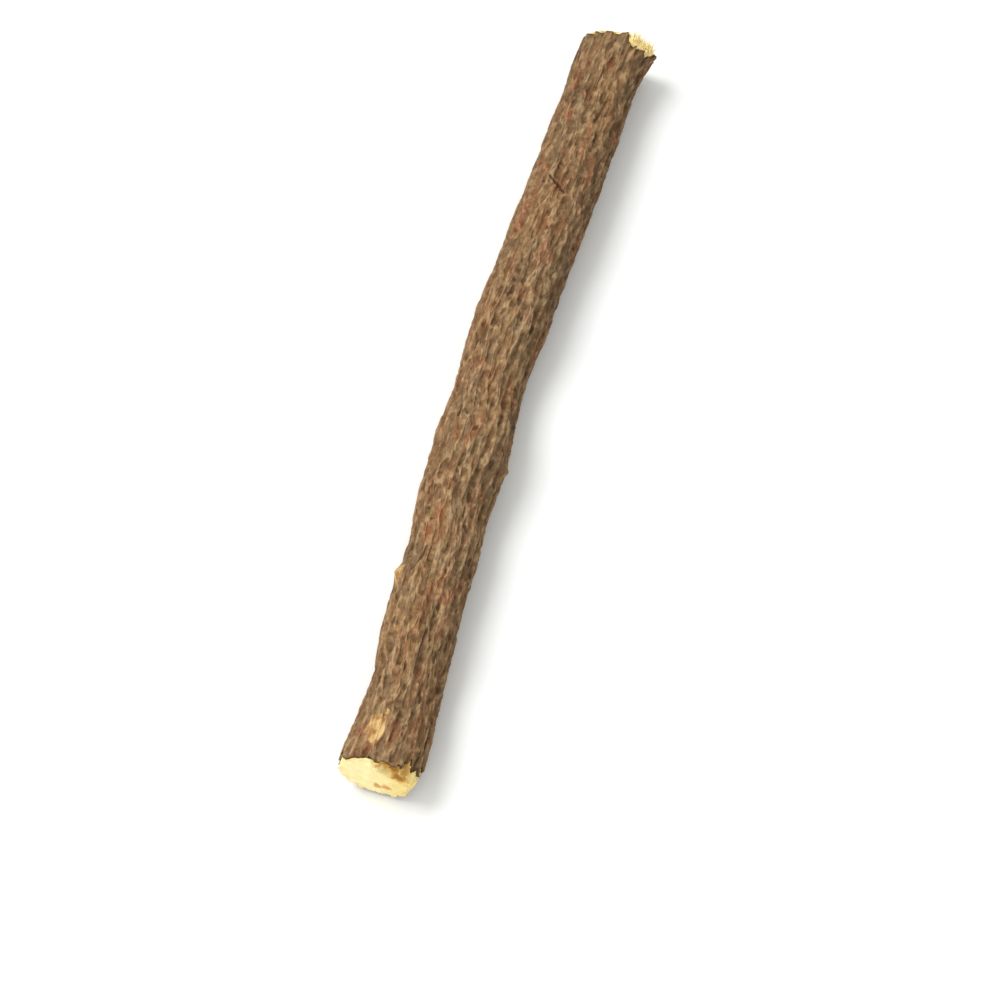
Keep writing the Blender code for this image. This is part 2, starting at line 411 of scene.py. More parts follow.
# %% Skin rings into a closed mesh
def mesh_volume(mesh):
    """Volume enclosed by a mesh, negative where its faces point inwards."""
    mesh.calc_loop_triangles()
    corners = np.empty(len(mesh.loop_triangles) * 3, dtype=np.int32)
    mesh.loop_triangles.foreach_get("vertices", corners)
    places = np.empty(len(mesh.vertices) * 3)
    mesh.vertices.foreach_get("co", places)
    a, b, c = places.reshape(-1, 3)[corners.reshape(-1, 3)].transpose(1, 0, 2)
    return float(np.einsum("ij,ij->i", a, np.cross(b, c)).sum() / 6)


def mesh_from_rings(name, rings, start, end):
    """A closed mesh through rings of equal length, with a middle point at each end."""
    count = len(rings[0])
    points = np.concatenate([*rings, start[None], end[None]])
    here = np.arange(count)
    after = (here + 1) % count
    faces = []
    for level in range(len(rings) - 1):
        low, high = level * count, (level + 1) * count
        faces += np.stack([low + here, low + after, high + after, high + here], -1).tolist()
    first, last = len(points) - 2, len(points) - 1
    top = (len(rings) - 1) * count
    faces += [(int(b), int(a), first) for a, b in zip(here, after)]
    faces += [(int(top + a), int(top + b), last) for a, b in zip(here, after)]
    mesh = bpy.data.meshes.new(name)
    mesh.from_pydata(points.tolist(), [], faces)
    mesh.update()
    if mesh_volume(mesh) < 0:
        mesh.flip_normals()
    mesh.shade_smooth()
    return mesh


def store(mesh, name, values):
    """Keeps one number or one vector for each point of a mesh."""
    vector = values.ndim == 2
    layer = mesh.attributes.new(name, "FLOAT_VECTOR" if vector else "FLOAT", "POINT")
    layer.data.foreach_set("vector" if vector else "value", values.astype(np.float32).ravel())


# %% Straightened coordinates and spots
SOFT_EDGED = 2
SHARP_EDGED = 4


def straight(x, turn):
    """Coordinates that unbend the stick, so that a pattern can follow its grain."""
    return np.stack([x, MEAN_RADIUS * np.sin(turn), MEAN_RADIUS * np.cos(turn)], -1)


def spots(x, turn, places, power=SOFT_EDGED):
    """How strongly each point lies in a list of spots (x, turn, half length, half width)."""
    share = np.zeros_like(x)
    for place, middle, length, width in places:
        across = np.abs(turn_between(turn, middle) * MEAN_RADIUS / width) ** power
        share = np.maximum(share, np.exp(-(np.abs((x - place) / length) ** power) - across))
    return share


# %% [markdown]
# ## The bark
#
# Licorice bark is a thin cork that dries grey-brown, with tan crests, dark hollows and red-brown
# patches where its outer skin has rubbed away; the crests and hollows are partly its own tone and
# partly painted highlight and painted shade. The bark could be sculpted, but then it would leave the
# solid's own ridges, so it is read from the stick's rule. The mesh also carries numbers for the
# finish: how high each place is on its ridge, how far it is from the rim, and how much it holds of
# the pale scar, a rubbed patch, dust, a dark crack and painted shade.

# %% Places on the bark
PATCH = [
    (-0.0747, 0.38, 0.0026, 0.0019),
    (-0.0769, 0.28, 0.0016, 0.0012),
]
# The scar is paler at this spot by the near cut and amber towards its top: painted shade.
SCAR_LIT_SPOT = [(-0.0764, 0.24, 0.0020, 0.0014)]
PALE_SPOTS = [
    (-0.0716, 0.22, 0.0007, 0.0006),
    (-0.0443, 1.15, 0.0022, 0.0016),
    (-0.0555, 0.58, 0.0006, 0.0005),
    (0.0090, 0.23, 0.0006, 0.0006),
    (-0.0170, -1.60, 0.0009, 0.0009),
]
RED_SPOTS = [
    (-0.0762, 0.75, 0.0032, 0.0016),
    (0.0015, 0.44, 0.0045, 0.0016),
    (0.0345, 0.92, 0.0052, 0.0022),
    (0.0475, 0.62, 0.0022, 0.0012),
    (0.0672, 0.79, 0.0050, 0.0014),
    (0.0613, 0.67, 0.0030, 0.0012),
    (0.0742, -0.17, 0.0024, 0.0012),
    (0.0619, -1.20, 0.0040, 0.0022),
    (-0.0310, 0.24, 0.0032, 0.0016),
    (-0.0360, 0.55, 0.0040, 0.0016),
    (-0.0471, -0.74, 0.0034, 0.0020),
    (-0.0805, -1.15, 0.0022, 0.0016),
    (-0.0798, -0.45, 0.0018, 0.0012),
    (0.0230, 1.70, 0.0060, 0.0030),
    (-0.0120, 2.60, 0.0070, 0.0030),
    (0.0480, -2.40, 0.0060, 0.0030),
    (-0.0600, -2.10, 0.0060, 0.0026),
]
DUSTY_SPOTS = [
    (0.0460, 0.33, 0.0010, 0.0008),
    (-0.0392, 0.02, 0.0030, 0.0009),
    (-0.0310, -0.10, 0.0026, 0.0008),
    (0.0640, 0.30, 0.0030, 0.0012),
    (0.0105, -0.35, 0.0030, 0.0012),
]
# Painted shade: dark spots, most of them along the right flank.
PAINTED_SHADE_SPOTS = [
    (0.0625, -1.15, 0.0050, 0.0018),
    (-0.0262, -0.38, 0.0018, 0.0014),
    (-0.0802, -1.30, 0.0026, 0.0018),
    (0.0250, -1.25, 0.0060, 0.0014),
    (-0.0080, -1.30, 0.0050, 0.0014),
]
PAINTED_SHADE_SHARE = 0.62
CRACKS = [
    ((-0.0384, 0.42), (-0.0412, 0.50), 0.00028),
    ((-0.0412, 0.50), (-0.0432, 0.62), 0.00022),
    ((-0.0290, -0.46), (-0.0308, -0.50), 0.00030),
    ((-0.0322, -0.60), (-0.0336, -0.68), 0.00038),
    ((-0.0104, -0.68), (-0.0112, -0.66), 0.00042),
    ((-0.0480, -1.28), (-0.0496, -1.36), 0.00042),
    ((-0.0545, -0.30), (-0.0632, -0.22), 0.00026),
    ((0.0662, -0.42), (0.0600, -0.30), 0.00026),
    ((0.0730, -0.05), (0.0690, 0.02), 0.00024),
    ((0.0130, 0.20), (0.0082, 0.33), 0.00024),
    ((-0.0262, 0.55), (-0.0300, 0.62), 0.00028),
    ((0.0300, 2.60), (0.0240, 2.45), 0.00030),
    ((-0.0420, -2.30), (-0.0480, -2.40), 0.00030),
]
print("on the bark:", len(RED_SPOTS), "rubbed patches,", len(DUSTY_SPOTS), "dusty ones and",
      len(CRACKS), "cracks")


# %% What the finish reads from the bark
def cracks(x, turn):
    """How strongly each point lies in one of the dark cracks."""
    share = np.zeros_like(x)
    for first, last, width in CRACKS:
        middle = (first[1] + last[1]) / 2
        away = away_from_line(x, turn, (first, last), middle)
        share = np.maximum(share, np.exp(-((away / width) ** 2)))
    return share


def mark_bark(mesh, x, turn, rim):
    """Keeps on the mesh what the bark's relief and its finish read."""
    scar = spots(x, turn, PATCH, SHARP_EDGED)
    # The painted shade spots are kept in one number with the cracks.
    dark = PAINTED_SHADE_SHARE * spots(x, turn, PAINTED_SHADE_SPOTS)
    under = np.exp(-((turn_between(turn, math.pi) / REST_HALF_TURN) ** 2))
    store(mesh, "grain", straight(x, turn))
    store(mesh, "level", wrinkles(x, turn) / RIDGE_RISE)
    store(mesh, "pale", np.maximum(spots(x, turn, PALE_SPOTS), scar))
    store(mesh, "scar_lit", spots(x, turn, SCAR_LIT_SPOT))
    store(mesh, "red", spots(x, turn, RED_SPOTS))
    store(mesh, "dusty", spots(x, turn, DUSTY_SPOTS))
    store(mesh, "crack_and_shade", np.maximum(cracks(x, turn), dark))
    store(mesh, "rim", rim)
    store(mesh, "pressed", near_rest(x) * under)


# %% Build the bark's rings
BARK_ALONG = 370
HIDDEN_INSET = 0.0012
HIDDEN_DEPTH = 0.0030
RIM_LAP = 0.00008


def build_bark():
    """The bark as a closed mesh from rim to rim, with the numbers that its finish reads."""
    turns = np.arange(BARK_ROUND) * 2 * math.pi / BARK_ROUND
    near_edge = wood_point(np.full(BARK_ROUND, NEAR.x), turns)
    far_edge = wood_point(np.full(BARK_ROUND, FAR.x), turns)
    start = rough_cut(NEAR, near_edge) + rim_set_back(turns, NEAR)
    stop = rough_cut(FAR, far_edge) - rim_set_back(turns, FAR)
    places = [start + HIDDEN_DEPTH, start, start]
    insets = [HIDDEN_INSET, RIM_LAP, 0.0]
    for share in np.arange(1, BARK_ALONG) / BARK_ALONG:
        places.append(start + (stop - start) * share)
        insets.append(0.0)
    places += [stop, stop, stop - HIDDEN_DEPTH]
    insets += [0.0, RIM_LAP, HIDDEN_INSET]
    rings = []
    for x, inset in zip(places, insets):
        rings.append(bark_point(x, turns, inset) if inset == 0 else wood_point(x, turns, inset))
    near_middle = rings[0].mean(axis=0)
    far_middle = rings[-1].mean(axis=0)
    mesh = mesh_from_rings("bark", rings, near_middle, far_middle)

    x = np.concatenate([*places, near_middle[:1], far_middle[:1]])
    turn = np.concatenate([np.tile(turns, len(places)), [0.0, 0.0]])
    rim = np.concatenate([*[np.minimum(p - start, stop - p) for p in places], [0.0, 0.0]])
    mark_bark(mesh, x, turn, rim)
    return bpy.data.objects.new("bark", mesh)


bark_base = build_bark()
print("bark's coarse rings:", len(bark_base.data.vertices), "points,",
      round(ML_PER_M3 * mesh_volume(bark_base.data), 2), "ml")

# %% [markdown]
# ## Fine relief by Geometry Nodes
#
# Between the solid's ridges the cork is covered with finer ones, about a millimetre wide, that
# wander, run into short strokes and are broken by small pits and long hollows. They could be
# carved with a brush, but they follow one rule on the whole surface, so a node tree does it:
# noise is stretched along the grain and bent by a second noise, and the mesh sinks where the
# noise is low. Relief only sinks, so the bark never grows past the solid, and it fades where the
# stick is pressed on the table.

# %% Helpers that add nodes
NOISE_ROUGHNESS = 0.55

Pattern = namedtuple("Pattern", "along across detail draw")


def add(tree, kind, feeds=None, **settings):
    """Adds a node, sets its options and feeds its inputs with values or other nodes' outputs."""
    made = tree.nodes.new(kind)
    for name, value in settings.items():
        setattr(made, name, value)
    for place, value in (feeds or {}).items():
        if isinstance(value, bpy.types.NodeSocket):
            tree.links.new(value, made.inputs[place])
        else:
            made.inputs[place].default_value = value
    return made


def sums(tree, operation, first, second=0.0):
    """The output of a math node."""
    return add(tree, "ShaderNodeMath", {0: first, 1: second}, operation=operation).outputs[0]


def vectors(tree, operation, first, second):
    """The output of a vector math node."""
    return add(tree, "ShaderNodeVectorMath", {0: first, 1: second}, operation=operation).outputs[0]


def scaled(tree, vector, amount):
    """A vector made longer or shorter by a number."""
    return add(tree, "ShaderNodeVectorMath", {0: vector, 3: amount}, operation="SCALE").outputs[0]


def same_thrice(tree, value):
    """The same number in all three parts of a vector."""
    return add(tree, "ShaderNodeCombineXYZ", {0: value, 1: value, 2: value}).outputs[0]


def ramp(tree, value, low, high, start=0.0, stop=1.0):
    """A value eased from start to stop as it goes from low to high."""
    feeds = {0: value, 1: low, 2: high, 3: start, 4: stop}
    return add(tree, "ShaderNodeMapRange", feeds, interpolation_type="SMOOTHSTEP").outputs[0]


def scaled_off(tree, value, amount):
    """How far a 0 to 1 value is off its middle, times an amount."""
    return sums(tree, "MULTIPLY", sums(tree, "SUBTRACT", value, 0.5), amount)


def heap(tree, *parts):
    """The sum of some values, each times its weight."""
    total = sums(tree, "MULTIPLY", *parts[0])
    for value, weight in parts[1:]:
        total = sums(tree, "ADD", total, sums(tree, "MULTIPLY", value, weight))
    return total


def cloud(tree, vector, pattern):
    """Noise with a pattern's number of features per metre along the grain and across it."""
    place = vectors(tree, "MULTIPLY", vector, (pattern.along, pattern.across, pattern.across))
    place = vectors(tree, "ADD", place, (pattern.draw, pattern.draw, pattern.draw))
    feeds = {"Vector": place, "Scale": 1.0, "Detail": pattern.detail, "Roughness": NOISE_ROUGHNESS}
    return add(tree, "ShaderNodeTexNoise", feeds)


# %% Sizes of the bark's fine pattern
SWAY_NOISE = Pattern(along=190.0, across=420.0, detail=3.0, draw=4.0)
WANDER_NOISE = Pattern(along=180.0, across=420.0, detail=2.0, draw=61.0)
FOLD_NOISE = Pattern(along=260.0, across=560.0, detail=3.0, draw=31.0)
STROKE_NOISE = Pattern(along=520.0, across=860.0, detail=4.0, draw=37.0)
PLACE_NOISE = Pattern(along=130.0, across=420.0, detail=2.0, draw=17.0)
HOLLOW_NOISE = Pattern(along=110.0, across=480.0, detail=1.5, draw=0.0)
PIT_NOISE = Pattern(along=290.0, across=880.0, detail=2.0, draw=71.0)
CRUMB_NOISE = Pattern(along=1300.0, across=2400.0, detail=2.0, draw=43.0)
SWAY = (0.0, 0.0010, 0.0010)
FINE_RIDGES = 27.0
RIDGE_WANDER = 13.0
RIDGES_IN_FOLDS = 0.10
FOLDS_IN_MARKS = 0.42
STROKES_IN_MARKS = 0.58
FOLD_EDGE = (0.34, 0.66)
MARK_EDGE = (0.39, 0.61)
HOLLOW_WIDTH = 0.030
HOLLOW_PLACES = (0.50, 0.64, 0.0, 0.8)
PIT_EDGE = (0.30, 0.38, 1.0, 0.0)
PITS_BY_PLACE = 0.20
print("fine ridges round the stick:", FINE_RIDGES, "- about",
      round(MM_PER_M * 2 * math.pi * MEAN_RADIUS / FINE_RIDGES, 1), "mm apart")


# %% The bark's fine pattern
def thin_lines(tree, grain, pattern, width):
    """Lines where stretched noise crosses its middle value: 1 on a line, 0 away from it."""
    level = cloud(tree, grain, pattern).outputs[0]
    away = sums(tree, "ABSOLUTE", sums(tree, "SUBTRACT", level, 0.5))
    return ramp(tree, away, 0.0, width, 1.0, 0.0)


def fine_ridges(tree, grain):
    """Wandering ridges between the solid's own ones, from -1 in a furrow to 1 on a ridge."""
    apart = add(tree, "ShaderNodeSeparateXYZ", {0: grain}).outputs
    turn = sums(tree, "ARCTAN2", apart[1], apart[2])
    wander = cloud(tree, grain, WANDER_NOISE).outputs[0]
    phase = sums(tree, "MULTIPLY", turn, FINE_RIDGES)
    phase = sums(tree, "ADD", phase, scaled_off(tree, wander, 2 * RIDGE_WANDER))
    return sums(tree, "COSINE", phase)


def bark_pattern(tree, grain):
    """Hollows, folds, marks and crumbs of the cork, each from 0 to 1, for relief and for colour."""
    sway = cloud(tree, grain, SWAY_NOISE).outputs[1]
    sway = vectors(tree, "SUBTRACT", sway, (0.5, 0.5, 0.5))
    bent = vectors(tree, "ADD", grain, vectors(tree, "MULTIPLY", sway, SWAY))
    fold = cloud(tree, bent, FOLD_NOISE).outputs[0]
    fold = heap(tree, (fine_ridges(tree, grain), RIDGES_IN_FOLDS), (fold, 1.0))
    stroke = cloud(tree, bent, STROKE_NOISE).outputs[0]
    marks = heap(tree, (fold, FOLDS_IN_MARKS), (stroke, STROKES_IN_MARKS))

    where = cloud(tree, grain, PLACE_NOISE).outputs[0]
    hollows = thin_lines(tree, bent, HOLLOW_NOISE, HOLLOW_WIDTH)
    hollows = sums(tree, "MULTIPLY", hollows, ramp(tree, where, *HOLLOW_PLACES))
    pits = cloud(tree, bent, PIT_NOISE).outputs[0]
    pits = sums(tree, "ADD", pits, scaled_off(tree, where, PITS_BY_PLACE))
    hollows = sums(tree, "MAXIMUM", hollows, ramp(tree, pits, *PIT_EDGE))
    crumb = cloud(tree, grain, CRUMB_NOISE).outputs[0]
    return hollows, ramp(tree, fold, *FOLD_EDGE), ramp(tree, marks, *MARK_EDGE), crumb


# %% Open and close a tree of Geometry Nodes
def new_tree(name, inputs):
    """A tree that takes geometry and the named inputs and gives geometry, and what it is given."""
    tree = bpy.data.node_groups.new(name, "GeometryNodeTree")
    for label, kind in {"Geometry": "Geometry", **inputs}.items():
        tree.interface.new_socket(label, in_out="INPUT", socket_type="NodeSocket" + kind)
    tree.interface.new_socket("Geometry", in_out="OUTPUT", socket_type="NodeSocketGeometry")
    return tree, add(tree, "NodeGroupInput").outputs


def close_tree(tree, shape, material):
    """Makes the tree's result plain geometry with a material, and gives it out."""
    shape = add(tree, "GeometryNodeRealizeInstances", {0: shape}).outputs[0]
    shape = add(tree, "GeometryNodeSetMaterial", {0: shape, "Material": material}).outputs[0]
    add(tree, "NodeGroupOutput", {0: shape})


# %% The bark's relief tree
RELIEF_INPUTS = {"Hollow depth": "Float", "Fold height": "Float", "Crumb depth": "Float",
                 "Material": "Material"}


def bark_relief_tree():
    tree, given = new_tree("bark relief", RELIEF_INPUTS)
    grain = add(tree, "GeometryNodeInputNamedAttribute", {0: "grain"}, data_type="FLOAT_VECTOR")
    hollows, folds, marks, crumb = bark_pattern(tree, grain.outputs[0])
    below_crests = sums(tree, "SUBTRACT", 2.0, sums(tree, "ADD", folds, marks))
    sink = heap(tree, (hollows, given["Hollow depth"]), (below_crests, given["Fold height"]),
                (crumb, given["Crumb depth"]))
    pressed = add(tree, "GeometryNodeInputNamedAttribute", {0: "pressed"}, data_type="FLOAT")
    sink = sums(tree, "MULTIPLY", sink, sums(tree, "SUBTRACT", 1.0, pressed.outputs[0]))
    normal = add(tree, "GeometryNodeInputNormal").outputs[0]
    offset = scaled(tree, normal, sums(tree, "MULTIPLY", sink, -1.0))

    moved = {0: given["Geometry"], "Offset": offset}
    shape = add(tree, "GeometryNodeSetPosition", moved).outputs[0]
    close_tree(tree, shape, given["Material"])
    return tree


relief = bark_relief_tree()
print("nodes that shape the bark:", len(relief.nodes))


# %% Run a node tree on a mesh
def run_tree(obj, tree, **values):
    """Applies a node tree to an object, and gives the object a plain mesh of the result."""
    bpy.context.scene.collection.objects.link(obj)
    modifier = obj.modifiers.new(tree.name, "NODES")
    modifier.node_group = tree
    for item in tree.interface.items_tree:
        name = item.name.replace(" ", "_").lower()
        if item.in_out == "INPUT" and name in values:
            modifier[item.identifier] = values[name]
    seen = obj.evaluated_get(bpy.context.evaluated_depsgraph_get())
    mesh = bpy.data.meshes.new_from_object(seen)
    obj.modifiers.remove(modifier)
    obj.data = mesh
    print(obj.name, "faces:", len(mesh.polygons))
    return obj


# %% [markdown]
# ## The bark's finish
#
# Dry cork is matt and its colour changes over every millimetre: tan on the crests, dark brown in
# the hollows, grey where it is dusty and red-brown where it is rubbed. The crests and hollows are
# partly the cork's own tone and partly painted highlight and painted shade; the fissures, both
# flanks and the dark spots carry painted shade, and so, in part, do the rim and the top of the scar.
# One flat colour would look like painted clay, so layers of noise that are stretched along the grain
# give those changes. The pattern is the same one that makes the relief, and the numbers kept on the
# mesh say where the scar, the slit and the rubbed patches are, so that colour and relief always
# agree.

# %% Colours
def tint(red, green, blue):
    """A colour given as it looks on a screen, 0 to 255, as the linear colour that Blender uses."""
    parts = [part / 255 for part in (red, green, blue)]
    parts = [p / 12.92 if p <= 0.04045 else ((p + 0.055) / 1.055) ** 2.4 for p in parts]
    return (*parts, 1.0)


TAN = tint(135, 103, 70)
GREY_BROWN = tint(123, 98, 70)
RED_BROWN = tint(132, 86, 57)
# Crest and hollow colours: partly the cork's own tone, partly painted highlight and painted shade.
CREST_TONE_AND_HIGHLIGHT = tint(174, 143, 105)
HOLLOW_TONE_AND_SHADE = tint(86, 62, 36)
# Dark brown of the cracks, and painted shade in the fissures and the shade spots.
CRACK_AND_SHADE_BROWN = tint(62, 43, 24)
RUBBED = tint(138, 82, 54)
DUST = tint(150, 130, 100)
SCAR_AMBER = tint(152, 108, 62)
SCAR_PALE = tint(212, 178, 122)
print("tan cork as linear colour:", [round(part, 3) for part in TAN[:3]])


# %% Helpers that read the mesh and blend colours
def blend_colour(tree, share, first, second):
    feeds = {0: share, 6: first, 7: second}
    return add(tree, "ShaderNodeMix", feeds, data_type="RGBA").outputs[2]


def kept_number(tree, name):
    return add(tree, "ShaderNodeAttribute", attribute_name=name).outputs["Fac"]


def kept_vector(tree, name):
    return add(tree, "ShaderNodeAttribute", attribute_name=name).outputs["Vector"]


def new_finish(name):
    """An empty material, its tree and its Principled shader."""
    material = bpy.data.materials.new(name)
    material.use_nodes = True
    tree = material.node_tree
    return material, tree, tree.nodes["Principled BSDF"]


# %% [markdown]
# ### Slit and scar
#
# The slit near the torn end is a dark opening thinner than the mesh's own steps, so it is drawn in
# the finish as the distance from a straight line. The scar is bare wood where a shoot broke off:
# pale fibres with amber between them, paler by the near cut and amber towards its top as painted
# shade under the bark's edge.

# %% The slit's and the scar's finish
OPENING_ENDS = ((0.0448, 0.37), (0.0418, -0.21))
OPENING_WIDTH = 0.00032
OPENING_CORE = 0.3
SCAR_NOISE = Pattern(along=480.0, across=760.0, detail=4.0, draw=63.0)
SCAR_FIBRE_NOISE = Pattern(along=500.0, across=3000.0, detail=2.0, draw=66.0)
SCAR_BY_FIBRE = 0.5
SCAR_BY_LIT = 0.22
SCAR_EDGE = (0.36, 0.72)


def slit_line(tree, grain):
    """The slit's dark opening: a thin straight line between its ends, 1 in its middle."""
    start, end = (Vector((x, MEAN_RADIUS * math.sin(turn), 0.0)) for x, turn in OPENING_ENDS)
    flat = vectors(tree, "MULTIPLY", grain, (1.0, 1.0, 0.0))
    here = vectors(tree, "SUBTRACT", flat, start)
    dot = {0: here, 1: (end - start) / (end - start).length_squared}
    share = add(tree, "ShaderNodeVectorMath", dot, operation="DOT_PRODUCT").outputs[1]
    share = add(tree, "ShaderNodeClamp", {0: share}).outputs[0]
    nearest = vectors(tree, "MULTIPLY", same_thrice(tree, share), end - start)
    away = {0: vectors(tree, "SUBTRACT", here, nearest)}
    away = add(tree, "ShaderNodeVectorMath", away, operation="LENGTH").outputs[1]
    return ramp(tree, away, OPENING_CORE * OPENING_WIDTH, OPENING_WIDTH, 1.0, 0.0)


def scar_colour(tree, grain):
    """Pale fibres with amber hollows, where a shoot broke off or the bark was knocked away."""
    patch = cloud(tree, grain, SCAR_NOISE).outputs[0]
    fibre = cloud(tree, grain, SCAR_FIBRE_NOISE).outputs[0]
    patch = sums(tree, "ADD", patch, scaled_off(tree, fibre, SCAR_BY_FIBRE))
    # Painted shade: away from the lit spot the scar stays amber towards its top.
    patch = heap(tree, (patch, 1.0), (kept_number(tree, "scar_lit"), SCAR_BY_LIT))
    return blend_colour(tree, ramp(tree, patch, *SCAR_EDGE), SCAR_AMBER, SCAR_PALE)


# %% Strengths of the bark's layers
BROAD_NOISE = Pattern(along=60.0, across=230.0, detail=3.0, draw=2.0)
WARM_NOISE = Pattern(along=170.0, across=480.0, detail=4.0, draw=12.0)
FLECK_NOISE = Pattern(along=680.0, across=1150.0, detail=2.0, draw=22.0)
STREAK_NOISE = Pattern(along=500.0, across=2400.0, detail=2.0, draw=52.0)
GREY_EDGE = (0.36, 0.62)
WARM_EDGE = (0.48, 0.66, 0.0, 0.80)
RUBBED_BY_FLECK = 1.6
RUBBED_BY_WARM = 2.4
RUBBED_EDGE = (0.35, 1.05, 0.0, 0.85)
FLECKED = 0.9
DUST_EDGE = (0.30, 0.90, 0.0, 0.70)
HEIGHT_OF_LEVEL = 0.12
HEIGHT_OF_MARKS = 0.60
HEIGHT_OF_FLECKS = 1.0
HEIGHT_OF_CRUMBS = 0.9
CREST_EDGE = (-0.05, 0.62, 0.0, 0.86)
HOLLOW_EDGE = (-0.62, 0.0, 0.88, 0.0)
FISSURE_EDGE = (0.10, 0.95, 0.0, 0.60)
CRACK_AND_SHADE_BY_FLECK = 0.5
CRACK_AND_SHADE_EDGE = (0.25, 0.85, 0.0, 0.85)
STREAK_SHADE = (0.30, 0.70, 0.94, 1.06)
# Painted shade on both flanks, the right one darkest.
RIGHT_FLANK_SHADE = (-0.0072, -0.0040, 0.74, 1.0)
LEFT_FLANK_SHADE = (0.0030, 0.0068, 1.0, 0.88)
ALONG_SHADE = (-0.04, 0.09, 1.05, 0.94)
RIM_SHADE = (0.0001, 0.0008, 0.45, 0.0)
PALE_EDGE = (0.32, 0.70)
CORK_ROUGHNESS = (0.3, 0.7, 0.80, 0.96)
CORK_GLOSS = 0.22
CORK_BUMP = {"Strength": 0.7, "Distance": 0.00011}
BUMP_OF_MARKS = 1.4
BUMP_OF_FLECKS = 1.2
BUMP_OF_FOLDS = 0.8
BUMP_OF_CRUMBS = 0.7


# %% The bark's material
def cork_colour(tree, grain, fleck):
    """Tan, grey-brown and red-brown cork, with rubbed and dusty places."""
    broad = cloud(tree, grain, BROAD_NOISE).outputs[0]
    colour = blend_colour(tree, ramp(tree, broad, *GREY_EDGE), TAN, GREY_BROWN)
    warm = cloud(tree, grain, WARM_NOISE).outputs[0]
    colour = blend_colour(tree, ramp(tree, warm, *WARM_EDGE), colour, RED_BROWN)
    patchy = sums(tree, "ADD", scaled_off(tree, fleck, RUBBED_BY_FLECK),
                  scaled_off(tree, warm, RUBBED_BY_WARM))
    rubbed = sums(tree, "ADD", kept_number(tree, "red"), patchy)
    colour = blend_colour(tree, ramp(tree, rubbed, *RUBBED_EDGE), colour, RUBBED)
    dusty = sums(tree, "ADD", kept_number(tree, "dusty"), scaled_off(tree, fleck, FLECKED))
    return blend_colour(tree, ramp(tree, dusty, *DUST_EDGE), colour, DUST)


def cork_shade(tree, grain):
    """Lighter or darker cork: its own streaks, painted shade on both flanks, darker to the far end."""
    streak = cloud(tree, grain, STREAK_NOISE).outputs[0]
    along, beside, _ = add(tree, "ShaderNodeSeparateXYZ", {0: grain}).outputs
    shade = ramp(tree, streak, *STREAK_SHADE)
    # Painted shade: both flanks are darkened, the right one most.
    for value, change in ((beside, RIGHT_FLANK_SHADE), (beside, LEFT_FLANK_SHADE), (along, ALONG_SHADE)):
        shade = sums(tree, "MULTIPLY", shade, ramp(tree, value, *change))
    return shade


def bark_finish():
    material, tree, shader = new_finish("licorice bark")
    grain = kept_vector(tree, "grain")
    hollows, folds, marks, crumb = bark_pattern(tree, grain)
    fleck = cloud(tree, grain, FLECK_NOISE).outputs[0]
    colour = cork_colour(tree, grain, fleck)

    # Painted highlight and shade: crest colour where relief and noise are high, hollow colour where low.
    height = sums(tree, "MULTIPLY", kept_number(tree, "level"), HEIGHT_OF_LEVEL)
    for value, share in ((marks, HEIGHT_OF_MARKS), (fleck, HEIGHT_OF_FLECKS), (crumb, HEIGHT_OF_CRUMBS)):
        height = sums(tree, "ADD", height, scaled_off(tree, value, share))
    colour = blend_colour(tree, ramp(tree, height, *CREST_EDGE), colour, CREST_TONE_AND_HIGHLIGHT)
    colour = blend_colour(tree, ramp(tree, height, *HOLLOW_EDGE), colour, HOLLOW_TONE_AND_SHADE)
    # Painted shade in the sunk fissures and pits of the relief.
    colour = blend_colour(tree, ramp(tree, hollows, *FISSURE_EDGE), colour, CRACK_AND_SHADE_BROWN)
    # Dark cracks, the slit's opening and the painted shade spots, in one dark brown.
    crack_and_shade = sums(tree, "ADD", kept_number(tree, "crack_and_shade"), scaled_off(tree, fleck, CRACK_AND_SHADE_BY_FLECK))
    dark = sums(tree, "MAXIMUM", crack_and_shade, slit_line(tree, grain))
    colour = blend_colour(tree, ramp(tree, dark, *CRACK_AND_SHADE_EDGE), colour, CRACK_AND_SHADE_BROWN)
    colour = vectors(tree, "MULTIPLY", colour, same_thrice(tree, cork_shade(tree, grain)))
    # Painted shade at the rim: the cork darkens within a millimetre of it, partly the torn edge's brown.
    colour = blend_colour(tree, ramp(tree, kept_number(tree, "rim"), *RIM_SHADE), colour, HOLLOW_TONE_AND_SHADE)
    pale = sums(tree, "ADD", kept_number(tree, "pale"), scaled_off(tree, fleck, FLECKED))
    colour = blend_colour(tree, ramp(tree, pale, *PALE_EDGE), colour, scar_colour(tree, grain))

    tree.links.new(colour, shader.inputs["Base Color"])
    tree.links.new(ramp(tree, fleck, *CORK_ROUGHNESS), shader.inputs["Roughness"])
    shader.inputs["Specular IOR Level"].default_value = CORK_GLOSS
    fine = heap(tree, (marks, BUMP_OF_MARKS), (fleck, BUMP_OF_FLECKS), (folds, BUMP_OF_FOLDS),
                (crumb, BUMP_OF_CRUMBS))
    bump = add(tree, "ShaderNodeBump", {**CORK_BUMP, "Height": fine})
    tree.links.new(bump.outputs[0], shader.inputs["Normal"])
    return material


# %% Dress the bark
HOLLOW_DEPTH = 0.00022
FOLD_HEIGHT = 0.00016
CRUMB_DEPTH = 0.00008

bark = run_tree(bark_base, relief, hollow_depth=HOLLOW_DEPTH, fold_height=FOLD_HEIGHT,
                crumb_depth=CRUMB_DEPTH, material=bark_finish())
print("bark's volume with its relief, ml:", round(ML_PER_M3 * mesh_volume(bark.data), 2))

# %% [markdown]
# ## The cut wood
#
# Under the bark is pale yellow wood with faint rays from the middle outwards. It could be a flat
# disc, but then light from the side would find no torn fibre to catch. So it is a plug that starts
# a little way inside the bark and ends in the cut face. Its face is made of rings, and rays and
# torn grain are raised on it by a rule of the radius and the turn.

